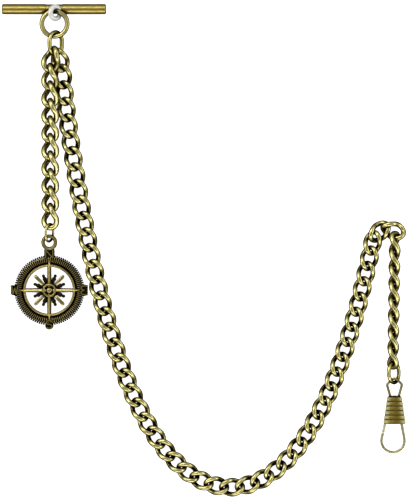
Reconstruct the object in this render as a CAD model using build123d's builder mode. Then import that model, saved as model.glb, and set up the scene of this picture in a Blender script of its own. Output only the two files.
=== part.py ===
"""Pocket watch chain: a T-bar, a long curb chain, a short fob chain with a compass charm, and a hook clasp.

The chain is laid out flat on a table in the curve in which it hangs when it is worn: +X points to the
right along the T-bar, +Y points up the chain and +Z up from the table, which is z = 0. Millimetres.
"""

import os
from math import asinh, atan, cos, degrees, exp, radians, sin, sqrt, tan

from build123d import *

# ---------------------------------------------------------------- driving dimensions
# A "shift" is a place in the plan, measured from the middle of the T-bar.

# T-bar
BAR_X, BAR_Y = -47.49, 76.45
BAR_LENGTH = 33.0
BAR_RADIUS = 1.65
BAR_CHAMFER = 0.3
WAIST_HALF_LENGTH = 2.6
WAIST_DEPTH = 0.1

# Eye brazed to the front of the T-bar
EYE_SHIFT = (0.5, -1.28)
EYE_HEIGHT = 3.92
EYE_RADIUS = 1.9
EYE_WIRE = 0.84
EYE_TURN = 40

# Round ring through the eye
BAR_RING_SHIFT = (0.25, -4.72)
BAR_RING_HEIGHT = 3.92
BAR_RING_RADIUS = 4.02
BAR_RING_WIRE = 1.32

# Small ring from which both chains hang
SMALL_RING_SHIFT = (0.62, -10.9)
SMALL_RING_HEIGHT = 3.75
SMALL_RING_HALF_WIDTH = 2.75
SMALL_RING_HALF_LENGTH = 3.48
SMALL_RING_WIRE = 1.15
SMALL_RING_YAW = 47.5
SMALL_RING_TIP = 1.5

# Curb links: the two ends of a link are twisted away from each other
LINK_WIRE = 1.4
LINK_HALF_WIDTH = 2.25
LINK_SIDE_SLOPE = 45
LINK_END_TWIST = 50
MAIN_HALF_LENGTH = 3.42
FOB_HALF_LENGTH = 3.54

# Fob chain: x, y, z, heading, tilt and roll of its first two links, then straight down
FOB_LINKS = 10
FOB_TOP = [
    (-0.62, -15.97, 4.8, -105.8, -6.5, 25.3),
    (-1.14, -21.45, 4.06, -90, -9.4, 45),
]
FOB_PITCH = 5.54
FOB_ROLL = 45
FOB_HEIGHT = 3.3
FOB_LOW_HEIGHT = 2.75

# Main chain: its first two links, then a catenary round to the bend over which the drop hangs
MAIN_LINKS = 50
MAIN_TOP = [
    (1.88, -16.12, 2.48, -73.4, -10.1, 11.4),
    (2.8, -21.37, 1.97, -84.5, -6, 0),
]
CATENARY = 19.79
LOWEST = (55.95, -151.6)
ARC_BEFORE_LOWEST = 154.0
PITCH = 4.988
TOP_PITCH = 5.3
PITCH_SETTLES_OVER = 30
TOP_LEAN = 0.8
LEAN_FADES_OVER = 2.5
MAIN_HEIGHT = 1.75
END_RISE = 0.75
RISE_FADES_OVER = 2.2

# Bend over the drop: x, y, z, heading, tilt and roll of its two links
BEND_LINKS = [
    (103.09, -70.58, 2.44, 44.3, -1.5, 2.7),
    (107.47, -70.16, 2.93, -19.5, 0, 16.5),
]

# Drop: links on edge, straight down to the clasp
DROP_LINKS = 8
DROP_FIRST = (108.0, -74.48)
DROP_LAST = (107.45, -110.1)
DROP_HEIGHT = 3.0
DROP_ROLL = 90

# Jump ring between the fob chain and the charm
JUMP_RING_SHIFT = (-1.42, -70.89)
JUMP_RING_HEIGHT = 2.43
JUMP_RING_HALF_WIDTH = 2.09
JUMP_RING_HALF_LENGTH = 2.82
JUMP_RING_WIRE = 0.8
JUMP_RING_YAW = 58.5
JUMP_RING_TIP = 15.4

# Compass charm
CHARM_SHIFT = (-1.36, -89.14)
CHARM_BOTTOM = 0.05
CHARM_THICKNESS = 1.5
RIM_OUTER_RADIUS = 10.9
RIM_GROOVE_RADIUS = 8.6
RIM_LIP_RADIUS = 8.1
RIM_HOLE_RADIUS = 7.5
LIP_HEIGHT = 0.35
GROOVE_DEPTH = 0.4
NEEDLE_REACH = 9.5
NEEDLE_WIDTH = 1.3
NEEDLE_TIP = 0.3
NEEDLE_THICKNESS = 1.3
DIAGONAL_REACH = 6.6
DIAGONAL_WIDTH = 0.95
SHORT_RAY_REACH = 5.4
SHORT_RAY_WIDTH = 0.75
RAY_BOTTOM = 0.45
RAY_THICKNESS = 0.9
BOSS_RADIUS = 2.16
BOSS_GROOVE_RADIUS = 1.5
DOME_RADIUS = 0.95
BOSS_HEIGHT = 2.1
CHARM_LOOP_Y = 15.15
CHARM_LOOP_Z = 1.45
CHARM_LOOP_RADIUS = 1.92
CHARM_LOOP_WIRE = 1.05
LETTER_STROKE = 0.6
LETTER_RISE = 0.45

# Oval ring between the drop and the clasp
END_RING_SHIFT = (107.65, -115.18)
END_RING_HEIGHT = 3.77
END_RING_HALF_WIDTH = 3.01
END_RING_HALF_LENGTH = 3.17
END_RING_WIRE = 1.0
END_RING_YAW = 56
END_RING_TIP = -4

# Hook clasp: places on it are measured from the middle of the sleeve's top, with Y towards the drop
CLASP_SHIFT = (107.88, -122.84)
CLASP_HEIGHT = 3.72
CLASP_WIRE = 0.86
BAIL_LEG_X = 1.3
BAIL_SHOULDER = (2.4, 3.9)
BAIL_PEAK_Y = 6.3
BAIL_PEAK_RADIUS = 1.4
BAIL_CORNER_RADIUS = 0.9
BAIL_LEG_DEPTH = 0.45
SLEEVE_LENGTH = 8.55
SLEEVE_TOP_RADIUS = 2.17
SLEEVE_FOOT_RADIUS = 3.42
SLEEVE_WALL = 0.4
SLEEVE_ROOF = 0.6
SLEEVE_FLOOR = 0.5
SLEEVE_RIBS = 6
RIB_RISE = 0.2
COLLAR_RADIUS = 1.95
COLLAR_HEIGHT = 0.35
LEG_FOOT_X = 2.25
LEG_SLANT = 10.4
LEG_INSIDE = 5.6
LEG_CLEARANCE = 0.06
HOOK_RADIUS = 3.65
HOOK_CENTRE_Y = -13.9
POINT_SLANT = 13
POINT_Y = -11.41
PIN_GAP = 0.12
PIN_TOP_Y = -8.25
HEAD_RADIUS = 0.68
HEAD_THICKNESS = 0.5
SPRING_WIRE = 0.2
SPRING_RADIUS = 0.58
SPRING_TURNS = 6

# ---------------------------------------------------------------- helpers


def plan_point(shift, z):
    """Place in the row's frame of a shift from the T-bar's middle, at height z."""
    return (BAR_X + shift[0], BAR_Y + shift[1], z)


def link_plane(shift, z, heading, tilt, roll):
    """Plane of a link: X runs along the chain, and Y lies across it, rolled up out of the table."""
    run = cos(radians(tilt))
    along = Vector(cos(radians(heading)) * run, sin(radians(heading)) * run, sin(radians(tilt)))
    flat_side = Vector(0, 0, 1).cross(along).normalized()
    normal = along.cross(flat_side).rotate(Axis((0, 0, 0), along), roll)
    return Plane(origin=plan_point(shift, z), x_dir=along, z_dir=normal)


def ring_plane(shift, z, yaw, tip=0):
    """Plane of a ring: X lies across the chain, its right end lowered by yaw, Y along it, raised by tip."""
    across = Vector(cos(radians(yaw)), 0, -sin(radians(yaw))).rotate(Axis.X, tip)
    along = Vector(0, cos(radians(tip)), sin(radians(tip)))
    return Plane(origin=plan_point(shift, z), x_dir=across, z_dir=across.cross(along))


def both_halves(place):
    """A plane, and the same plane turned half round its normal."""
    return place, Plane(origin=place.origin, x_dir=place.x_dir * -1, z_dir=place.z_dir)


def biarc_joint(start, start_dir, end, end_dir):
    """Point at which two arcs meet that leave start along start_dir and reach end along end_dir."""
    chord = end - start
    both = start_dir + end_dir
    a = 2 * (1 - start_dir.dot(end_dir))
    b = 2 * chord.dot(both)
    reach = (sqrt(b * b + 4 * a * chord.dot(chord)) - b) / (2 * a)
    return (start + start_dir * reach + end - end_dir * reach) * 0.5


def arc_middle(start, heading, end):
    """Middle of the arc that leaves start along heading and stops at end."""
    chord = end - start
    along = chord.normalized()
    aside = (heading - along * heading.dot(along)).normalized()
    half_turn = radians(heading.get_angle(chord)) / 2
    return (start + end) * 0.5 + aside * (chord.length / 2 * tan(half_turn))


def tangent_arc(start, heading, end):
    """Arc in the open line, from start along heading to end."""
    ThreePointArc(tuple(start), tuple(arc_middle(start, heading, end)), tuple(end))


def add_wire(line, diameter):
    """Sweep round wire along a finished line into the open part."""
    path = line.wires()[0]
    with BuildSketch(Plane(origin=path @ 0, z_dir=path % 0)) as section:
        Circle(diameter / 2)
    sweep(section.sketch, path=path)


def add_curb_link(place, half_length):
    """One link of round wire in the open part, in two halves that meet at its sides.

    A quarter runs from the middle of a side to the tip of an end in two tangent arcs.
    """
    side = Vector(0, LINK_HALF_WIDTH, 0)
    tip = Vector(half_length, 0, 0)
    side_dir = Vector(cos(radians(LINK_SIDE_SLOPE)), 0, -sin(radians(LINK_SIDE_SLOPE)))
    tip_dir = Vector(0, -cos(radians(LINK_END_TWIST)), sin(radians(LINK_END_TWIST)))
    joint = biarc_joint(side, side_dir, tip, tip_dir)
    far_joint = Vector(joint.X, -joint.Y, -joint.Z)
    far_dir = Vector(side_dir.X, 0, -side_dir.Z)
    for half in both_halves(place):
        with BuildLine(half) as line:
            tangent_arc(side, side_dir, joint)
            tangent_arc(tip, tip_dir * -1, joint)
            tangent_arc(tip, tip_dir, far_joint)
            tangent_arc(side * -1, far_dir, far_joint)
        add_wire(line, LINK_WIRE)


def add_ring(place, half_width, half_length, wire):
    """One ring of round wire in the open part: turned if round, else two half circles and straights."""
    straight = half_length - half_width
    if straight == 0:
        with BuildSketch(Plane(origin=place.origin, x_dir=place.x_dir, z_dir=place.y_dir * -1)) as section:
            with Locations((half_width, 0)):
                Circle(wire / 2)
        revolve(section.sketch, axis=Axis(place.origin, place.z_dir))
        return
    for half in both_halves(place):
        with BuildLine(half) as line:
            Line((half_width, 0), (half_width, straight))
            ThreePointArc((half_width, straight), (0, half_length), (-half_width, straight))
            Line((-half_width, straight), (-half_width, 0))
        add_wire(line, wire)


made = {}


def keep(name, built):
    """Label a finished piece and keep it for writing."""
    built.part.label = name
    made[name] = built.part


# ---------------------------------------------------------------- T-bar and its rings

bar_axis = Plane(origin=plan_point((0, 0), BAR_RADIUS), x_dir=(1, 0, 0), z_dir=(0, -1, 0))
waist_radius = BAR_RADIUS - WAIST_DEPTH
half_bar = BAR_LENGTH / 2

with BuildPart() as t_bar:
    with BuildSketch(bar_axis):
        with BuildLine():
            Polyline(
                (-half_bar, 0),
                (-half_bar, BAR_RADIUS - BAR_CHAMFER),
                (-half_bar + BAR_CHAMFER, BAR_RADIUS),
                (-WAIST_HALF_LENGTH - WAIST_DEPTH, BAR_RADIUS),
                (-WAIST_HALF_LENGTH, waist_radius),
                (WAIST_HALF_LENGTH, waist_radius),
                (WAIST_HALF_LENGTH + WAIST_DEPTH, BAR_RADIUS),
                (half_bar - BAR_CHAMFER, BAR_RADIUS),
                (half_bar, BAR_RADIUS - BAR_CHAMFER),
                (half_bar, 0),
                close=True,
            )
        make_face()
    revolve(axis=Axis(bar_axis.origin, bar_axis.x_dir))
keep("t_bar", t_bar)

with BuildPart() as t_bar_eye:
    add_ring(ring_plane(EYE_SHIFT, EYE_HEIGHT, EYE_TURN), EYE_RADIUS, EYE_RADIUS, EYE_WIRE)
    add(t_bar.part, mode=Mode.SUBTRACT)
keep("t_bar_eye", t_bar_eye)

with BuildPart() as bar_ring:
    bar_ring_plane = ring_plane(BAR_RING_SHIFT, BAR_RING_HEIGHT, 0)
    add_ring(bar_ring_plane, BAR_RING_RADIUS, BAR_RING_RADIUS, BAR_RING_WIRE)
keep("bar_ring", bar_ring)

small_ring_plane = ring_plane(SMALL_RING_SHIFT, SMALL_RING_HEIGHT, SMALL_RING_YAW, SMALL_RING_TIP)
with BuildPart() as small_ring:
    add_ring(small_ring_plane, SMALL_RING_HALF_WIDTH, SMALL_RING_HALF_LENGTH, SMALL_RING_WIRE)
keep("small_ring", small_ring)

# ---------------------------------------------------------------- fob chain


def fob_place(number):
    """Plane of a fob link, counted from 1 at the small ring."""
    if number <= len(FOB_TOP):
        x, y, *attitude = FOB_TOP[number - 1]
        return link_plane((x, y), *attitude)
    x, y, *_ = FOB_TOP[-1]
    below = number - len(FOB_TOP)
    z = FOB_HEIGHT + (FOB_LOW_HEIGHT - FOB_HEIGHT) * below / (FOB_LINKS - len(FOB_TOP))
    return link_plane((x, y - FOB_PITCH * below), z, -90, 0, FOB_ROLL)


for number in range(1, FOB_LINKS + 1):
    with BuildPart() as fob_link:
        add_curb_link(fob_place(number), FOB_HALF_LENGTH)
    keep(f"fob_link_{number:02d}", fob_link)

jump_ring_plane = ring_plane(JUMP_RING_SHIFT, JUMP_RING_HEIGHT, JUMP_RING_YAW, JUMP_RING_TIP)
with BuildPart() as fob_jump_ring:
    add_ring(jump_ring_plane, JUMP_RING_HALF_WIDTH, JUMP_RING_HALF_LENGTH, JUMP_RING_WIRE)
keep("fob_jump_ring", fob_jump_ring)

# ---------------------------------------------------------------- compass charm

charm_base = Plane(origin=plan_point(CHARM_SHIFT, CHARM_BOTTOM))
LETTERS = {
    "N": ((0, 11.3), [[(-1.3, -1.4), (-1.3, 1.4), (1.3, -1.4), (1.3, 1.4)]]),
    "E": ((11.0, 0), [[(1.1, 1.6), (-0.9, 1.6), (-0.9, -1.6), (1.1, -1.6)], [(-0.9, 0), (0.8, 0)]]),
    "S": ((0, -10.9), [[(1.3, 1.1), (-1.2, 1.1), (-1.2, 0), (1.3, 0), (1.3, -1.1), (-1.3, -1.1)]]),
    "W": ((-10.7, 0), [[(-1.4, 1.6), (-0.75, -1.6), (0, 0.9), (0.75, -1.6), (1.4, 1.6)]]),
}

with BuildPart() as compass_charm:
    # rim, with a lip round the hole and a groove outside it
    rim_section = Plane(origin=charm_base.origin, x_dir=(1, 0, 0), z_dir=(0, -1, 0))
    with BuildSketch(rim_section):
        with BuildLine():
            Polyline(
                (RIM_HOLE_RADIUS, 0),
                (RIM_OUTER_RADIUS, 0),
                (RIM_OUTER_RADIUS, CHARM_THICKNESS),
                (RIM_GROOVE_RADIUS, CHARM_THICKNESS),
                (RIM_GROOVE_RADIUS, CHARM_THICKNESS - GROOVE_DEPTH),
                (RIM_LIP_RADIUS, CHARM_THICKNESS - GROOVE_DEPTH),
                (RIM_LIP_RADIUS, CHARM_THICKNESS + LIP_HEIGHT),
                (RIM_HOLE_RADIUS, CHARM_THICKNESS + LIP_HEIGHT),
                close=True,
            )
        make_face()
    revolve(axis=Axis(charm_base.origin, (0, 0, 1)))
    # four long needles, tapered to a point over the rim
    with BuildSketch(charm_base.offset(CHARM_THICKNESS + LIP_HEIGHT - NEEDLE_THICKNESS)):
        with PolarLocations(0, 4):
            Polygon(
                (0, -NEEDLE_WIDTH / 2), (NEEDLE_REACH, -NEEDLE_TIP / 2),
                (NEEDLE_REACH, NEEDLE_TIP / 2), (0, NEEDLE_WIDTH / 2), align=None,
            )
    extrude(amount=NEEDLE_THICKNESS)
    # four diagonal rays and eight short ones
    with BuildSketch(charm_base.offset(RAY_BOTTOM)):
        with PolarLocations(DIAGONAL_REACH / 2, 4, start_angle=45):
            SlotOverall(DIAGONAL_REACH, DIAGONAL_WIDTH)
        for start in (22.5, 67.5):
            with PolarLocations(SHORT_RAY_REACH / 2, 4, start_angle=start):
                SlotOverall(SHORT_RAY_REACH, SHORT_RAY_WIDTH)
    extrude(amount=RAY_THICKNESS)
    # boss with a groove round its dome
    with BuildSketch(charm_base.offset(RAY_BOTTOM)):
        Circle(BOSS_RADIUS)
    extrude(amount=BOSS_HEIGHT - RAY_BOTTOM)
    with BuildSketch(charm_base.offset(BOSS_HEIGHT)):
        Circle(BOSS_GROOVE_RADIUS)
        Circle(DOME_RADIUS, mode=Mode.SUBTRACT)
    extrude(amount=-GROOVE_DEPTH, mode=Mode.SUBTRACT)
    # loop at the top, and the four points' letters across the rim
    loop_plane = Plane(origin=charm_base.from_local_coords((0, CHARM_LOOP_Y, CHARM_LOOP_Z)))
    add_ring(loop_plane, CHARM_LOOP_RADIUS, CHARM_LOOP_RADIUS, CHARM_LOOP_WIRE)
    with BuildSketch(charm_base):
        for middle, strokes in LETTERS.values():
            with BuildLine() as letter:
                for stroke in strokes:
                    Polyline(*[(middle[0] + x, middle[1] + y) for x, y in stroke])
            trace(letter.line, LETTER_STROKE)
    extrude(amount=CHARM_THICKNESS + LETTER_RISE)
keep("compass_charm", compass_charm)

# ---------------------------------------------------------------- main chain


def main_arc(number):
    """Length along the catenary from its lowest point to a link, counted from 1 at the small ring."""
    steps = number - 1
    gained = 0
    for step in range(min(steps, PITCH_SETTLES_OVER)):
        gained += (TOP_PITCH - PITCH) * (1 - step / PITCH_SETTLES_OVER)
    return PITCH * steps + gained - ARC_BEFORE_LOWEST


def main_place(number):
    """Plane of a main link, counted from 1 at the small ring."""
    if number <= len(MAIN_TOP):
        x, y, *attitude = MAIN_TOP[number - 1]
        return link_plane((x, y), *attitude)
    arc = main_arc(number)
    lean = TOP_LEAN * exp(-(number - 1) / LEAN_FADES_OVER)
    x = LOWEST[0] + CATENARY * asinh(arc / CATENARY) + lean
    y = LOWEST[1] + sqrt(CATENARY**2 + arc**2) - CATENARY
    z = MAIN_HEIGHT + END_RISE * exp((number - MAIN_LINKS) / RISE_FADES_OVER)
    return link_plane((x, y), z, degrees(atan(arc / CATENARY)), 0, 0)


def keep_main(name, first, last):
    """The main links from first to last as one node."""
    with BuildPart() as main_links:
        for number in range(first, last + 1):
            add_curb_link(main_place(number), MAIN_HALF_LENGTH)
    keep(name, main_links)


keep_main("main_link_01", 1, 1)
for first in range(2, MAIN_LINKS, 2):
    keep_main(f"main_links_{first:02d}_{first + 1:02d}", first, first + 1)
keep_main(f"main_link_{MAIN_LINKS}", MAIN_LINKS, MAIN_LINKS)

# ---------------------------------------------------------------- bend, drop and its ring

for number, (x, y, *attitude) in enumerate(BEND_LINKS, start=1):
    with BuildPart() as bend_link:
        add_curb_link(link_plane((x, y), *attitude), MAIN_HALF_LENGTH)
    keep(f"bend_link_{number}", bend_link)

drop_run = (DROP_LAST[0] - DROP_FIRST[0], DROP_LAST[1] - DROP_FIRST[1])
drop_heading = degrees(atan(drop_run[0] / -drop_run[1])) - 90
for number in range(1, DROP_LINKS + 1):
    share = (number - 1) / (DROP_LINKS - 1)
    middle = (DROP_FIRST[0] + drop_run[0] * share, DROP_FIRST[1] + drop_run[1] * share)
    with BuildPart() as drop_link:
        add_curb_link(link_plane(middle, DROP_HEIGHT, drop_heading, 0, DROP_ROLL), MAIN_HALF_LENGTH)
    keep(f"drop_link_{number}", drop_link)

end_ring_plane = ring_plane(END_RING_SHIFT, END_RING_HEIGHT, END_RING_YAW, END_RING_TIP)
with BuildPart() as end_ring:
    add_ring(end_ring_plane, END_RING_HALF_WIDTH, END_RING_HALF_LENGTH, END_RING_WIRE)
keep("end_ring", end_ring)

# ---------------------------------------------------------------- clasp

clasp = Plane(origin=plan_point(CLASP_SHIFT, CLASP_HEIGHT))
shoulder_x, shoulder_y = BAIL_SHOULDER

with BuildPart() as clasp_bail:
    with BuildLine(clasp) as bail_line:
        FilletPolyline(
            (-BAIL_LEG_X, -BAIL_LEG_DEPTH),
            (-BAIL_LEG_X, 0),
            (-shoulder_x, shoulder_y),
            (0, BAIL_PEAK_Y),
            (shoulder_x, shoulder_y),
            (BAIL_LEG_X, 0),
            (BAIL_LEG_X, -BAIL_LEG_DEPTH),
            radius=(0, BAIL_CORNER_RADIUS, BAIL_PEAK_RADIUS, BAIL_CORNER_RADIUS, 0),
        )
    add_wire(bail_line, CLASP_WIRE)
keep("clasp_bail", clasp_bail)

# the hook: a straight leg out of the sleeve, round the bow, and up to its point
leg_slope = tan(radians(LEG_SLANT))
leg_foot = (LEG_FOOT_X, -SLEEVE_LENGTH)
leg_down = (sin(radians(LEG_SLANT)), -cos(radians(LEG_SLANT)))
leg_top = (leg_foot[0] - LEG_INSIDE * leg_down[0], leg_foot[1] - LEG_INSIDE * leg_down[1])
bend_start_y = HOOK_CENTRE_Y + HOOK_RADIUS * leg_down[0]
bend_start = (leg_foot[0] + leg_slope * (leg_foot[1] - bend_start_y), bend_start_y)
hook_centre = (bend_start[0] + HOOK_RADIUS * leg_down[1], HOOK_CENTRE_Y)
point_up = (sin(radians(POINT_SLANT)), cos(radians(POINT_SLANT)))
bend_end = (hook_centre[0] - HOOK_RADIUS * point_up[1], hook_centre[1] + HOOK_RADIUS * point_up[0])
point = (bend_end[0] + tan(radians(POINT_SLANT)) * (POINT_Y - bend_end[1]), POINT_Y)

head_top = Plane(
    origin=clasp.from_local_coords((*leg_top, 0)), x_dir=(0, 0, 1), z_dir=(leg_down[0], leg_down[1], 0)
)

with BuildPart() as clasp_hook:
    with BuildLine(clasp) as hook_line:
        Line(leg_top, bend_start)
        ThreePointArc(bend_start, (hook_centre[0], hook_centre[1] - HOOK_RADIUS), bend_end)
        Line(bend_end, point)
    add_wire(hook_line, CLASP_WIRE)
    with BuildSketch(head_top):
        Circle(HEAD_RADIUS)
    extrude(amount=HEAD_THICKNESS)
keep("clasp_hook", clasp_hook)

# the pin that meets the hook's point, held in the sleeve's floor
pin_foot = (point[0] + point_up[0] * PIN_GAP, point[1] + point_up[1] * PIN_GAP)
pin_top = (point[0] + tan(radians(POINT_SLANT)) * (PIN_TOP_Y - POINT_Y), PIN_TOP_Y)
with BuildPart() as gate_pin:
    with BuildLine(clasp) as pin_line:
        Line(pin_foot, pin_top)
    add_wire(pin_line, CLASP_WIRE)
keep("gate_pin", gate_pin)

# the sleeve: a thin hollow cone with rolled ribs and a collar, bored through its floor for the hook's leg
rib_pitch = SLEEVE_LENGTH / SLEEVE_RIBS
cone_slope = (SLEEVE_FOOT_RADIUS - SLEEVE_TOP_RADIUS) / SLEEVE_LENGTH


def cone_radius(depth):
    """Outer radius of the plain cone at a depth below its top."""
    return SLEEVE_TOP_RADIUS + cone_slope * depth


with BuildPart() as clasp_sleeve:
    with BuildSketch(clasp):
        with BuildLine():
            for rib in range(SLEEVE_RIBS):
                top = rib * rib_pitch
                crest = top + rib_pitch / 2
                foot = top + rib_pitch
                ThreePointArc(
                    (cone_radius(top), -top),
                    (cone_radius(crest) + RIB_RISE, -crest),
                    (cone_radius(foot), -foot),
                )
            Polyline(
                (SLEEVE_FOOT_RADIUS, -SLEEVE_LENGTH),
                (0, -SLEEVE_LENGTH),
                (0, COLLAR_HEIGHT),
                (COLLAR_RADIUS, COLLAR_HEIGHT),
                (COLLAR_RADIUS, 0),
                (SLEEVE_TOP_RADIUS, 0),
            )
        make_face()
        floor_top = SLEEVE_LENGTH - SLEEVE_FLOOR
        Polygon(
            (0, -SLEEVE_ROOF),
            (cone_radius(SLEEVE_ROOF) - SLEEVE_WALL, -SLEEVE_ROOF),
            (cone_radius(floor_top) - SLEEVE_WALL, -floor_top),
            (0, -floor_top),
            align=None,
            mode=Mode.SUBTRACT,
        )
    revolve(axis=Axis(clasp.origin, (0, 1, 0)))
    with BuildSketch(head_top.offset(LEG_INSIDE / 2)):
        Circle(CLASP_WIRE / 2 + LEG_CLEARANCE)
    extrude(amount=LEG_INSIDE, mode=Mode.SUBTRACT)
    add(gate_pin.part, mode=Mode.SUBTRACT)
    add(clasp_bail.part, mode=Mode.SUBTRACT)
keep("clasp_sleeve", clasp_sleeve)

# the spring between the head of the hook's leg and the sleeve's floor
spring_length = LEG_INSIDE - HEAD_THICKNESS - SLEEVE_FLOOR / cos(radians(LEG_SLANT)) - 2 * SPRING_WIRE
with BuildPart() as clasp_spring:
    with BuildLine(head_top.offset(HEAD_THICKNESS + SPRING_WIRE)) as spring_line:
        Helix(spring_length / SPRING_TURNS, spring_length, SPRING_RADIUS, direction=head_top.z_dir)
    add_wire(spring_line, SPRING_WIRE)
keep("clasp_spring", clasp_spring)

# ---------------------------------------------------------------- write

os.makedirs("parts", exist_ok=True)
for name, part in made.items():
    export_step(part, f"parts/{name}.step")
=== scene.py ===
"""Looks of the pocket watch chain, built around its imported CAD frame. Metres, +Z up from the table."""

import math

import bmesh
import bpy
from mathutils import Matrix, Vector


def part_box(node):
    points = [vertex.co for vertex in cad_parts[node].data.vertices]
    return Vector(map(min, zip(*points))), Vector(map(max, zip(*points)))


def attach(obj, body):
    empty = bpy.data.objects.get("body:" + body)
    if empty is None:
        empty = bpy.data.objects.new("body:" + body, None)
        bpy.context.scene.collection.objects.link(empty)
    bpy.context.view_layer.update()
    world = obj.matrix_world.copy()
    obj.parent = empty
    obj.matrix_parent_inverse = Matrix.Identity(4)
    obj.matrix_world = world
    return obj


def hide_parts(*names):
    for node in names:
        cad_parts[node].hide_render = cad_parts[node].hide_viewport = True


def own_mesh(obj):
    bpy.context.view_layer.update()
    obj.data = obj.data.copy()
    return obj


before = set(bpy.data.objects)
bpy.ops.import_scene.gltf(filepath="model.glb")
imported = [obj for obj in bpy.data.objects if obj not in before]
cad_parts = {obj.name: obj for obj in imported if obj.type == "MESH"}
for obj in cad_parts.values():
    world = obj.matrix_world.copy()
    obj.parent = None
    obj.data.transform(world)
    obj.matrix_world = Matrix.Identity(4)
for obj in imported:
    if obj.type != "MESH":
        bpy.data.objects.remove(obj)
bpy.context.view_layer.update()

MM = 0.001

# ---------------------------------------------------------------- camera, floor and light

PICTURE_HEIGHT = 157.5 * MM
CAMERA_HEIGHT = 1.3
SENSOR = 36.0
AIM_RIGHT = 48.2 * MM
AIM_DOWN = 75.9 * MM
AIM_HEIGHT = 2.5 * MM
FLOOR_HALF = 8.0
FLOOR_DROP = 0.2 * MM
FLOOR_GLOW = 1.05
bar_low, bar_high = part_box("t_bar")
bar_middle = (bar_low + bar_high) / 2
aim = Vector((bar_middle.x + AIM_RIGHT, bar_middle.y - AIM_DOWN, AIM_HEIGHT))

camera_data = bpy.data.cameras.new("camera")
camera_data.sensor_fit = "VERTICAL"
camera_data.sensor_height = SENSOR
camera_data.lens = SENSOR * (CAMERA_HEIGHT - aim.z) / PICTURE_HEIGHT
camera_data.clip_start = 0.05
camera_data.clip_end = 50
camera = bpy.data.objects.new("camera", camera_data)
camera.location = (aim.x, aim.y, CAMERA_HEIGHT)
bpy.context.scene.collection.objects.link(camera)
bpy.context.scene.camera = camera
bpy.context.scene.view_settings.view_transform = "Standard"


def node_adder(tree):
    """A function that adds a node to a tree, with its inputs linked or set and its settings."""

    def add(kind, inputs=None, **settings):
        node = tree.nodes.new(kind)
        for key, value in settings.items():
            setattr(node, key, value)
        for key, value in (inputs or {}).items():
            if isinstance(value, bpy.types.NodeSocket):
                tree.links.new(value, node.inputs[key])
            else:
                node.inputs[key].default_value = value
        return node

    return add


def node_material(name):
    """A new material with its node tree, its Principled shader and a function that adds a node."""
    material = bpy.data.materials.new(name)
    material.use_nodes = True
    tree = material.node_tree
    return material, tree, tree.nodes["Principled BSDF"], node_adder(tree)


def floor_material():
    """Matt white that glows a little, so that it stays white between the links."""
    material, tree, shader, add = node_material("floor_white")
    place = add("ShaderNodeTexCoord")
    cloud = add("ShaderNodeTexNoise", {"Vector": place.outputs["Object"], "Scale": 3.0, "Detail": 2.0})
    tone = add("ShaderNodeValToRGB", {"Fac": cloud.outputs["Fac"]})
    tone.color_ramp.elements[0].color = (0.90, 0.90, 0.90, 1)
    tone.color_ramp.elements[1].color = (0.94, 0.94, 0.94, 1)
    tree.links.new(tone.outputs["Color"], shader.inputs["Base Color"])
    tree.links.new(tone.outputs["Color"], shader.inputs["Emission Color"])
    shader.inputs["Emission Strength"].default_value = FLOOR_GLOW
    shader.inputs["Roughness"].default_value = 0.9
    shader.inputs["Specular IOR Level"].default_value = 0.1
    return material


floor_mesh = bpy.data.meshes.new("floor")
floor_mesh.from_pydata(
    [(-FLOOR_HALF, -FLOOR_HALF, 0), (FLOOR_HALF, -FLOOR_HALF, 0), (FLOOR_HALF, FLOOR_HALF, 0),
     (-FLOOR_HALF, FLOOR_HALF, 0)],
    [],
    [(0, 1, 2, 3)],
)
floor = bpy.data.objects.new("floor", floor_mesh)
floor.location = (0, 0, -FLOOR_DROP)
floor.visible_glossy = False
floor.data.materials.append(floor_material())
bpy.context.scene.collection.objects.link(floor)

# A pale tent round the object: brightest above the horizon, darker overhead and dark below
world = bpy.data.worlds.new("studio")
bpy.context.scene.world = world
world.use_nodes = True
sky = world.node_tree
direction = sky.nodes.new("ShaderNodeTexCoord")
height = sky.nodes.new("ShaderNodeSeparateXYZ")
sky.links.new(direction.outputs["Generated"], height.inputs[0])
tent = sky.nodes.new("ShaderNodeValToRGB")
sky.links.new(height.outputs["Z"], tent.inputs["Fac"])
tent.color_ramp.interpolation = "EASE"
tent.color_ramp.elements[0].position = 0.0
tent.color_ramp.elements[0].color = (0.12, 0.12, 0.12, 1)
tent.color_ramp.elements[1].position = 0.9
tent.color_ramp.elements[1].color = (0.20, 0.20, 0.20, 1)
side = tent.color_ramp.elements.new(0.35)
side.color = (0.52, 0.52, 0.52, 1)
sky.links.new(tent.outputs["Color"], sky.nodes["Background"].inputs["Color"])
sky.nodes["Background"].inputs["Strength"].default_value = 1.0


def soft_light(name, place, size, power, colour=(1, 1, 1)):
    """A rectangular soft light that looks at the middle of the object."""
    light = bpy.data.lights.new(name, "AREA")
    light.shape = "RECTANGLE"
    light.size, light.size_y = size
    light.energy = power
    light.color = colour
    lamp = bpy.data.objects.new(name, light)
    lamp.location = place
    lamp.rotation_euler = (aim - lamp.location).to_track_quat("-Z", "Y").to_euler()
    bpy.context.scene.collection.objects.link(lamp)


soft_light("light_top", (-0.5, 0.9, 1.3), (1.2, 0.25), 7)
soft_light("light_below", (0, -1.1, 0.9), (1.6, 0.25), 6, (1, 0.98, 0.94))
soft_light("light_left", (-1.2, 0.2, 0.8), (1.6, 0.2), 4)
soft_light("light_right", (1.3, 0.1, 0.7), (1.6, 0.2), 4)

# ---------------------------------------------------------------- materials

SLEEVE_RIBS = 6
SLEEVE_COLLAR = 0.35 * MM
COLLAR_SHADE = 0.05 * MM
EYE_SHADE = 1.35 * MM


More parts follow.
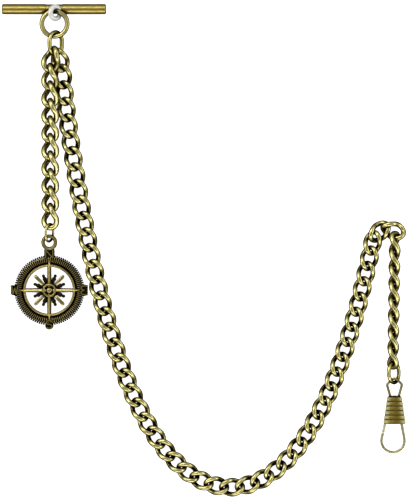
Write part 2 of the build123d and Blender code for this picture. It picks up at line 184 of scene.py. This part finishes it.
def shaded_antique_metal(
    name, bright, middle, dark, rough=(0.2, 0.38), recess=1.1 * MM, wear_and_light=(0.0, 0.8), tones=(0.12, 0.86),
    edge=(0.7, 0.6, 0.3), mottle=0.05, metal=1.0,
):
    """Antiqued metal with painted light and shade, from dark through middle to bright.

    Its tone goes from tones[0] to tones[1] as a face turns across the facing range given, where 0 looks
    sideways and 1 straight up or down: painted light and shade, with some brightening from rubbing. It
    darkens in recesses of about the size given and on sides that face other wires of the same piece,
    which is painted shade with some dark antiquing in the hollows, and mottle varies it a little.
    """
    material, tree, shader, add = node_material(name)

    def ramp(value, start, end, low=0.0, high=1.0, kind="SMOOTHSTEP"):
        """The socket of a value mapped from start..end to low..high."""
        inputs = {"Value": value, "From Min": start, "From Max": end, "To Min": low, "To Max": high}
        return add("ShaderNodeMapRange", inputs, interpolation_type=kind).outputs[0]

    def maths(kind, *values, **settings):
        """The socket of a Math node."""
        return add("ShaderNodeMath", dict(enumerate(values)), operation=kind, **settings).outputs[0]

    place = add("ShaderNodeTexCoord").outputs
    blotch = add("ShaderNodeTexNoise", {"Vector": place["Object"], "Scale": 520.0, "Detail": 3.0})
    fine = add("ShaderNodeTexNoise", {"Vector": place["Object"], "Scale": 2600.0, "Detail": 2.0})
    facing = add("ShaderNodeSeparateXYZ", {"Vector": place["Normal"]})
    # Painted light and shade by facing, with some brightening from rubbing: up and down faces get one tone,
    # sideways faces another
    rubbed_and_lit = ramp(maths("ABSOLUTE", facing.outputs["Z"]), *wear_and_light, *tones)
    # Painted shade, with some dark antiquing in the hollows: darker in recesses, near the floor and on sides
    # facing the same piece
    hollow = add("ShaderNodeAmbientOcclusion", {"Distance": recess}, samples=8)
    open_air = ramp(hollow.outputs["AO"], 0.3, 0.85)
    inside = add("ShaderNodeAmbientOcclusion", {"Distance": 4 * recess}, samples=8, only_local=True)
    outward = ramp(inside.outputs["AO"], 0.66, 0.97)
    kept = maths("MULTIPLY", rubbed_and_lit, maths("MULTIPLY", outward, open_air))
    spread = ramp(blotch.outputs["Fac"], 0.3, 0.7, -mottle, mottle, kind="LINEAR")
    polish_and_light = maths("ADD", kept, spread, use_clamp=True)
    tone = add("ShaderNodeValToRGB", {"Fac": polish_and_light})
    tone.color_ramp.elements[0].position = 0.06
    tone.color_ramp.elements[0].color = (*dark, 1)
    tone.color_ramp.elements[1].position = 0.9
    tone.color_ramp.elements[1].color = (*bright, 1)
    tone.color_ramp.elements.new(0.48).color = (*middle, 1)
    tree.links.new(tone.outputs["Color"], shader.inputs["Base Color"])
    matt = ramp(polish_and_light, 0.0, 1.0, rough[1], rough[0], kind="LINEAR")
    speckle = maths("MULTIPLY_ADD", fine.outputs["Fac"], 0.03, matt)
    tree.links.new(speckle, shader.inputs["Roughness"])
    bump = add("ShaderNodeBump", {"Height": fine.outputs["Fac"], "Strength": 0.006, "Distance": 0.02 * MM})
    tree.links.new(bump.outputs["Normal"], shader.inputs["Normal"])
    shader.inputs["Metallic"].default_value = metal
    shader.inputs["Specular Tint"].default_value = (*edge, 1)
    return material


def darkened(material, dark_colour, bare):
    """Covers a material with a dark colour where the socket from bare(add, place) is 0, and not where it is 1:
    painted shade, and tarnish where parts rub.
    """
    tree = material.node_tree
    shader = tree.nodes["Principled BSDF"]
    colour = shader.inputs["Base Color"].links[0].from_socket
    add = node_adder(tree)
    place = add("ShaderNodeTexCoord").outputs["Object"]
    mix = add("ShaderNodeMix", data_type="RGBA")
    tree.links.new(bare(add, place), mix.inputs["Factor"])
    mix.inputs["A"].default_value = (*dark_colour, 1)
    tree.links.new(colour, mix.inputs["B"])
    tree.links.new(mix.outputs["Result"], shader.inputs["Base Color"])


def dark_collar(material, above):
    """Darkens a material above a height along the chain: painted shade at the collar on top of the clasp's
    sleeve.
    """

    def bare(add, place):
        along = add("ShaderNodeSeparateXYZ", {0: place}).outputs["Y"]
        return add("ShaderNodeMath", {0: along, 1: above}, operation="LESS_THAN").outputs[0]

    darkened(material, (0.03, 0.022, 0.01), bare)


def dark_grooves(material, foot, pitch):
    """Darkens a material at a regular pitch along the chain: painted shade in the grooves between a sleeve's
    ribs.
    """

    def bare(add, place):
        along = add("ShaderNodeSeparateXYZ", {0: place}).outputs["Y"]
        steps = add("ShaderNodeMath", {0: along, 1: 1 / pitch, 2: -foot / pitch}, operation="MULTIPLY_ADD")
        swing = add("ShaderNodeMath", {0: steps.outputs[0], 1: 0.5}, operation="PINGPONG")
        inputs = {"Value": swing.outputs[0], "From Min": 0.02, "From Max": 0.26}
        return add("ShaderNodeMapRange", inputs, interpolation_type="SMOOTHSTEP").outputs[0]

    darkened(material, (0.09, 0.06, 0.006), bare)


def dark_near(material, point, reach):
    """Darkens a material round a point: painted shade where another part shades it, and tarnish where it rubs."""

    def bare(add, place):
        gap = add("ShaderNodeVectorMath", {0: place, 1: point}, operation="DISTANCE")
        inputs = {"Value": gap.outputs["Value"], "From Min": reach * 0.8, "From Max": reach * 1.15}
        return add("ShaderNodeMapRange", inputs, interpolation_type="SMOOTHSTEP").outputs[0]

    darkened(material, (0.012, 0.012, 0.006), bare)


chain_brass = shaded_antique_metal(
    "chain_brass", (0.90, 0.82, 0.33), (0.29, 0.225, 0.03), (0.008, 0.005, 0.001), rough=(0.26, 0.42),
    wear_and_light=(0.1, 0.95), edge=(0.5, 0.4, 0.15), mottle=0.03,
)
bar_brass = shaded_antique_metal(
    "bar_brass", (0.55, 0.43, 0.105), (0.36, 0.265, 0.045), (0.025, 0.016, 0.002), rough=(0.34, 0.42),
    wear_and_light=(0.0, 0.6), recess=2.6 * MM, edge=(0.5, 0.36, 0.1), mottle=0.02,
)
RING_LOOK = dict(
    bright=(0.82, 0.73, 0.28), middle=(0.36, 0.29, 0.06), dark=(0.014, 0.010, 0.002), rough=(0.26, 0.42),
    wear_and_light=(0.45, 0.97), tones=(0.04, 0.92), recess=1.8 * MM, edge=(0.3, 0.22, 0.07), mottle=0.03,
)
ring_brass = shaded_antique_metal("ring_brass", **RING_LOOK)
bar_ring_brass = shaded_antique_metal("bar_ring_brass", **RING_LOOK)
# Painted shade on the bar's ring round the eye, which shades it
eye_low, eye_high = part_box("t_bar_eye")
dark_near(bar_ring_brass, (eye_low + eye_high) / 2, EYE_SHADE)
clasp_brass = shaded_antique_metal(
    "clasp_brass", (0.66, 0.60, 0.32), (0.34, 0.29, 0.10), (0.03, 0.022, 0.006), rough=(0.3, 0.42),
    wear_and_light=(0.2, 0.95), mottle=0.02,
)
bail_brass = shaded_antique_metal(
    "bail_brass", (0.44, 0.38, 0.16), (0.20, 0.16, 0.05), (0.02, 0.014, 0.004), rough=(0.34, 0.45),
    wear_and_light=(0.3, 0.95), mottle=0.02,
)
# Painted reflection: the sleeve's flanks lighter and faces looking up or down darker
sleeve_brass = shaded_antique_metal(
    "sleeve_brass", (0.96, 0.91, 0.46), (0.25, 0.185, 0.03), (0.04, 0.026, 0.002), rough=(0.42, 0.5),
    wear_and_light=(0.97, 0.45), tones=(0.42, 1.0), recess=0.45 * MM, edge=(0.95, 0.92, 0.5), mottle=0.0, metal=0.6,
)
sleeve_low, sleeve_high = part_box("clasp_sleeve")
# Painted shade in the grooves between the sleeve's ribs
dark_grooves(sleeve_brass, sleeve_low.y, (sleeve_high.y - SLEEVE_COLLAR - sleeve_low.y) / SLEEVE_RIBS)
# Painted shade at the sleeve's collar
dark_collar(sleeve_brass, sleeve_high.y - SLEEVE_COLLAR - COLLAR_SHADE)
pin_brass = shaded_antique_metal(
    "pin_brass", (0.92, 0.86, 0.52), (0.62, 0.54, 0.26), (0.12, 0.09, 0.03), wear_and_light=(0.05, 0.7)
)
pale_metal = shaded_antique_metal(
    "pale_eye", (1.0, 1.0, 0.96), (1.0, 1.0, 0.92), (0.4, 0.4, 0.36), rough=(0.45, 0.5), wear_and_light=(0.0, 0.3),
    recess=0.4 * MM, edge=(1, 1, 1), metal=0.5,
)
spring_steel = shaded_antique_metal(
    "spring_steel", (0.75, 0.75, 0.76), (0.55, 0.55, 0.57), (0.2, 0.2, 0.2), rough=(0.2, 0.35)
)
charm_bright = shaded_antique_metal(
    "charm_bright", (0.50, 0.41, 0.15), (0.20, 0.15, 0.035), (0.014, 0.010, 0.003), recess=0.4 * MM,
    wear_and_light=(0.3, 0.9), rough=(0.3, 0.45), mottle=0.03,
)
charm_dark = shaded_antique_metal(
    "charm_dark", (0.42, 0.34, 0.11), (0.075, 0.056, 0.014), (0.007, 0.005, 0.002), recess=0.45 * MM,
    wear_and_light=(0.5, 1.0), rough=(0.34, 0.55),
)
charm_fin = shaded_antique_metal(
    "charm_fin", (0.70, 0.58, 0.24), (0.22, 0.17, 0.05), (0.004, 0.003, 0.001), recess=0.25 * MM,
    wear_and_light=(0.5, 1.0), rough=(0.3, 0.5),
)
charm_black = shaded_antique_metal(
    "charm_black", (0.035, 0.026, 0.010), (0.009, 0.0065, 0.0025), (0.003, 0.002, 0.001), recess=0.45 * MM,
    wear_and_light=(0.5, 1.0), rough=(0.4, 0.6), edge=(0.1, 0.08, 0.04),
)

NODE_METALS = {
    "t_bar": bar_brass,
    "t_bar_eye": pale_metal,
    "bar_ring": bar_ring_brass,
    "small_ring": ring_brass,
    "end_ring": ring_brass,
    "gate_pin": pin_brass,
    "clasp_spring": spring_steel,
    "clasp_sleeve": sleeve_brass,
    "clasp_bail": bail_brass,
    "clasp_hook": clasp_brass,
}
# Thickness of the plating on nodes whose names start so, in millimetres
PLATING = {
    "fob_link": 0.2, "t_bar_eye": 0.35, "main_": 0.08, "drop_": 0.12, "bend_": 0.12,
    "bar_ring": 0.12, "small_ring": 0.12, "end_ring": 0.12,
}

for name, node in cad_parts.items():
    node.data.materials.clear()
    node.data.materials.append(NODE_METALS.get(name, chain_brass))
    for start, thickness in PLATING.items():
        if name.startswith(start):
            seam = node.modifiers.new("closed_seam", "WELD")
            seam.merge_threshold = 0.0005 * MM
            plating = node.modifiers.new("plating", "DISPLACE")
            plating.strength = thickness * MM
            plating.mid_level = 0

# ---------------------------------------------------------------- new pieces


def new_piece(name, vertices, faces, material, body, slot, smooth=True):
    """A piece from vertices in metres, riding on a body."""
    mesh = bpy.data.meshes.new(name)
    mesh.from_pydata(vertices, [], faces)
    mesh.validate()
    work = bmesh.new()
    work.from_mesh(mesh)
    bmesh.ops.remove_doubles(work, verts=work.verts, dist=1e-7)
    bmesh.ops.recalc_face_normals(work, faces=work.faces)
    work.to_mesh(mesh)
    work.free()
    mesh.polygons.foreach_set("use_smooth", [smooth] * len(mesh.polygons))
    mesh.materials.append(material)
    piece = bpy.data.objects.new(name, mesh)
    bpy.context.scene.collection.objects.link(piece)
    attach(piece, body)
    return piece


# ---------------------------------------------------------------- compass charm

CHARM_BODY = "compass_charm"
SOUTH_REACH = 12.3 * MM
charm_low, charm_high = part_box("compass_charm")
charm_middle = Vector(((charm_low.x + charm_high.x) / 2, charm_low.y + SOUTH_REACH, charm_low.z))


def charm_piece(name, vertices, faces, material, smooth=True):
    """A piece of the charm from vertices in millimetres about its middle, riding on the charm."""
    placed = [charm_middle + Vector(v) * MM for v in vertices]
    return new_piece(name, placed, faces, material, CHARM_BODY, "charm_bronze", smooth)


def turned(profile, steps):
    """Vertices and faces of a ring turned about Z. profile(angle) gives its closed (radius, z) outline."""
    vertices, faces = [], []
    for i in range(steps):
        angle = 2 * math.pi * i / steps
        outline = profile(angle)
        vertices += [(r * math.cos(angle), r * math.sin(angle), z) for r, z in outline]
    count = len(outline)
    for i in range(steps):
        for j in range(count):
            a, b = i * count + j, i * count + (j + 1) % count
            c, d = ((i + 1) % steps) * count + (j + 1) % count, ((i + 1) % steps) * count + j
            faces.append((a, b, c, d))
    return vertices, faces


def rim_outline(angle):
    """Outline of the rim's low dark band."""
    top = [(8.2, 0.1), (8.2, 0.9), (9.4, 0.85), (10.3, 0.6), (10.55, 0.45)]
    return top + [(10.55, 0.1), (9.6, 0.0), (8.5, 0.0)]


def lip_outline(angle):
    """Outline of the smooth rounded lip round the hole."""
    arc = [math.radians(a) for a in range(-20, 201, 20)]
    crown = [(7.85 + 0.42 * math.cos(a), 1.35 + 0.5 * math.sin(a)) for a in arc]
    return crown + [(7.5, 0.15), (7.6, 0.0), (8.15, 0.0), (8.25, 0.15)]


rim = charm_piece("charm_rim", *turned(rim_outline, 240), charm_black)
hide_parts("compass_charm")
charm_piece("charm_lip", *turned(lip_outline, 160), charm_bright)


def spin(vertices, degrees):
    """Vertices turned about Z."""
    a = math.radians(degrees)
    return [(x * math.cos(a) - y * math.sin(a), x * math.sin(a) + y * math.cos(a), z) for x, y, z in vertices]


def lofted(sections):
    """Vertices and faces of a closed loft along X. Each section is (x, [(y, z), ...])."""
    vertices = [(x, y, z) for x, outline in sections for y, z in outline]
    count = len(sections[0][1])
    faces = [tuple(range(count)), tuple(range(len(vertices) - count, len(vertices)))]
    for i in range(len(sections) - 1):
        for j in range(count):
            a, b = i * count + j, i * count + (j + 1) % count
            faces.append((a, b, b + count, a + count))
    return vertices, faces


def around(name, shape, angles, material, smooth=True):
    """One charm piece from a shape repeated at several angles."""
    vertices, faces = [], []
    for angle in angles:
        start = len(vertices)
        vertices += spin(shape[0], angle)
        faces += [tuple(start + i for i in face) for face in shape[1]]
    return charm_piece(name, vertices, faces, material, smooth)


def blade(x, half_width, ridge):
    """Section of a needle: a low ridge with sloping sides."""
    return x, [
        (-half_width, 1.0), (-half_width, 1.3), (-half_width * 0.45, ridge - 0.12), (0, ridge),
        (half_width * 0.45, ridge - 0.12), (half_width, 1.3), (half_width, 1.0), (0, 0.75),
    ]


needle = lofted(
    [blade(1.2, 0.68, 2.0), blade(2.5, 0.72, 2.05), blade(7.2, 0.64, 2.05), blade(8.4, 0.48, 2.0),
     blade(9.3, 0.30, 1.95), blade(10.0, 0.10, 1.85)]
)
around("charm_needles", needle, (0, 90, 180, 270), charm_bright, smooth=False)


def bar_section(x, half_width, low, high):
    """Section of a ray with rounded edges."""
    soft = min(half_width, high - low) * 0.35
    return x, [
        (-half_width, low), (-half_width, high - soft), (-half_width + soft, high), (half_width - soft, high),
        (half_width, high - soft), (half_width, low),
    ]


fin = lofted(
    [bar_section(8.6, 0.10, 0.4, 1.2), bar_section(8.9, 0.12, 0.4, 1.5), bar_section(9.6, 0.13, 0.3, 1.62),
     bar_section(10.1, 0.12, 0.2, 1.6), bar_section(10.4, 0.06, 0.3, 1.5)]
)
tooth = lofted(
    [bar_section(9.7, 0.22, 0.2, 1.0), bar_section(10.2, 0.26, 0.15, 1.4), bar_section(10.95, 0.26, 0.15, 1.35),
     bar_section(11.15, 0.18, 0.2, 1.1)]
)
FINS = 96
FIN_ANGLES = [360 * (i + 0.5) / FINS for i in range(FINS)]
around("charm_fins", fin, FIN_ANGLES, charm_fin, smooth=False)
around("charm_teeth", tooth, FIN_ANGLES, charm_black, smooth=False)

diagonal = lofted(
    [bar_section(1.5, 0.40, 0.6, 1.5), bar_section(4.0, 0.50, 0.6, 1.6), bar_section(5.8, 0.58, 0.6, 1.62),
     bar_section(6.3, 0.48, 0.65, 1.58), bar_section(6.6, 0.24, 0.75, 1.4)]
)
around("charm_diagonals", diagonal, (45, 135, 225, 315), charm_bright)

short_ray = lofted(
    [bar_section(1.2, 0.60, 0.5, 1.2), bar_section(3.2, 0.56, 0.5, 1.22), bar_section(3.7, 0.72, 0.5, 1.26),
     bar_section(4.1, 0.68, 0.5, 1.26), bar_section(4.4, 0.40, 0.5, 1.22), bar_section(4.75, 0.50, 0.5, 1.26),
     bar_section(5.15, 0.48, 0.5, 1.26), bar_section(5.42, 0.22, 0.6, 1.1)]
)
around("charm_short_rays", short_ray, [22.5 + 45 * i for i in range(8)], charm_black)


def boss_outline(angle):
    """Outline of the boss's raised ring."""
    arc = [math.radians(a) for a in range(0, 181, 20)]
    crown = [(1.85 + 0.36 * math.cos(a), 2.0 + 0.36 * math.sin(a)) for a in arc]
    return crown + [(1.49, 0.5), (2.21, 0.5)]


def groove_outline(angle):
    """Outline of the dark floor between the ring and the dome."""
    return [(1.6, 1.5), (0.6, 1.5), (0.6, 0.4), (1.6, 0.4)]


def dome_outline(angle):
    """Outline of the dome."""
    arc = [math.radians(a) for a in range(0, 91, 10)]
    return [(0.98 * math.cos(a) + 0.001, 1.6 + 0.62 * math.sin(a)) for a in arc] + [(0.001, 0.4), (0.98, 0.4)]


charm_piece("charm_boss", *turned(boss_outline, 72), charm_bright)
charm_piece("charm_boss_floor", *turned(groove_outline, 72), charm_black)
charm_piece("charm_dome", *turned(dome_outline, 72), charm_bright)

LOOP_Y = 15.15
LOOP_Z = 1.45


def loop_outline(angle):
    """Outline of the loop's round wire."""
    arc = [math.radians(a) for a in range(0, 360, 20)]
    return [(1.98 + 0.6 * math.cos(a), LOOP_Z + 0.6 * math.sin(a)) for a in arc]


loop_vertices, loop_faces = turned(loop_outline, 96)
charm_piece("charm_loop", [(x, y + LOOP_Y, z) for x, y, z in loop_vertices], loop_faces, charm_dark)

# Letters: each a dark block with raised strokes on it
S_BEND = [
    (0.9 * math.cos(math.radians(a)), 0.62 + 0.62 * math.sin(math.radians(a))) for a in range(20, 271, 25)
]
LETTERS = {
    "north": ((0, 11.5), (1.65, 1.75), [[(-1.15, -1.25), (-1.15, 1.25), (1.15, -1.25), (1.15, 1.25)]]),
    "east": (
        (10.95, 0), (1.25, 1.6),
        [[(1.0, 1.3), (0.2, 1.45), (-0.8, 1.1), (-0.85, 0.4), (0.1, 0), (-0.85, -0.4), (-0.8, -1.1), (0.2, -1.45),
          (1.0, -1.3)]],
    ),
    "south": ((0, -10.85), (1.3, 1.15), [S_BEND + [(-x, -y) for x, y in reversed(S_BEND)]]),
    "west": (
        (-10.95, 0), (1.25, 1.6),
        [[(-1.0, 1.35), (-0.55, -1.3), (0, 0.7), (0.55, -1.3), (1.0, 1.35)]],
    ),
}


def stroke(start, end, half_width, low, high):
    """A letter's stroke: a bar from start to end whose top is narrower than its foot."""
    a, b = Vector(start), Vector(end)
    along = (b - a).normalized() * half_width
    a, b = a - along * 0.7, b + along * 0.7
    side = Vector((-along.y, along.x))
    foot = [a - side, b - side, b + side, a + side]
    top = [a - side * 0.5 + along * 0.5, b - side * 0.5 - along * 0.5,
           b + side * 0.5 - along * 0.5, a + side * 0.5 + along * 0.5]
    vertices = [(p.x, p.y, low) for p in foot] + [(p.x, p.y, high - 0.3) for p in foot]
    vertices += [(p.x, p.y, high) for p in top]
    faces = [(3, 2, 1, 0), (8, 9, 10, 11)]
    for base in (0, 4):
        faces += [(base + i, base + (i + 1) % 4, base + 4 + (i + 1) % 4, base + 4 + i) for i in range(4)]
    return vertices, faces


def block(middle, half_x, half_y, low, high):
    """A letter's block, with cut corners and a sloped top edge."""
    cut = 0.4
    plan = [(-1, -1, cut, 0), (-1, -1, 0, cut), (-1, 1, 0, -cut), (-1, 1, cut, 0),
            (1, 1, -cut, 0), (1, 1, 0, -cut), (1, -1, 0, cut), (1, -1, -cut, 0)]
    outline = [(half_x * sx + dx, half_y * sy + dy) for sx, sy, dx, dy in plan]
    levels = [(low, 1.0), (high - 0.2, 1.0), (high, 0.85)]
    vertices = [(middle[0] + x * k, middle[1] + y * k, z) for z, k in levels for x, y in outline]
    faces = [tuple(range(8)), tuple(range(16, 24))]
    for base in (0, 8):
        faces += [(base + i, base + (i + 1) % 8, base + 8 + (i + 1) % 8, base + 8 + i) for i in range(8)]
    return vertices, faces


for name, (middle, half_size, lines) in LETTERS.items():
    charm_piece(f"charm_block_{name}", *block(middle, *half_size, 0.05, 1.4), charm_black, smooth=False)
    vertices, faces = [], []
    for line in lines:
        for number, (start, end) in enumerate(zip(line, line[1:])):
            start = (start[0] + middle[0], start[1] + middle[1])
            end = (end[0] + middle[0], end[1] + middle[1])
            shape = stroke(start, end, 0.36, 1.2, 1.98 + 0.004 * (number % 2))
            faces += [tuple(len(vertices) + i for i in face) for face in shape[1]]
            vertices += shape[0]
    charm_piece(f"charm_letter_{name}", vertices, faces, charm_dark, smooth=False)

# ---------------------------------------------------------------- clasp spring

# The spring is pressed together as the hook slides out, so it stays with the clasp; its coil here keeps one
# length and does not flatten
LEG_SLANT = math.radians(10.4)
SPRING_LENGTH = 4.19
SPRING_RADIUS = 0.58
SPRING_WIRE_RADIUS = 0.1
SPRING_TURNS = 6
STEPS_PER_TURN = 36
WIRE_SIDES = 10
spring_low, spring_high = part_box("clasp_spring")
spring_middle = (spring_low + spring_high) / 2
leg_along = Vector((math.sin(LEG_SLANT), -math.cos(LEG_SLANT), 0))
leg_across = Vector((math.cos(LEG_SLANT), math.sin(LEG_SLANT), 0))


def spring_shape():
    """Vertices and faces of the spring: a round wire along a helix round the hook's leg."""
    vertices, faces = [], []
    steps = STEPS_PER_TURN * SPRING_TURNS
    for step in range(steps + 1):
        share = step / steps
        angle = 2 * math.pi * SPRING_TURNS * share
        outward = leg_across * math.cos(angle) + Vector((0, 0, math.sin(angle)))
        centre = spring_middle + (leg_along * SPRING_LENGTH * (share - 0.5) + outward * SPRING_RADIUS) * MM
        for side in range(WIRE_SIDES):
            turn = 2 * math.pi * side / WIRE_SIDES
            offset = outward * math.cos(turn) + leg_along * math.sin(turn)
            vertices.append(centre + offset * SPRING_WIRE_RADIUS * MM)
    for step in range(steps):
        first, second = step * WIRE_SIDES, (step + 1) * WIRE_SIDES
        for side in range(WIRE_SIDES):
            following = (side + 1) % WIRE_SIDES
            faces.append((first + side, first + following, second + following, second + side))
    faces.append(tuple(range(WIRE_SIDES)))
    faces.append(tuple(range(steps * WIRE_SIDES, (steps + 1) * WIRE_SIDES)))
    return vertices, faces


spring = new_piece("pressed_spring", *spring_shape(), spring_steel, "clasp", "spring_steel")
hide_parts("clasp_spring")
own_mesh(spring)
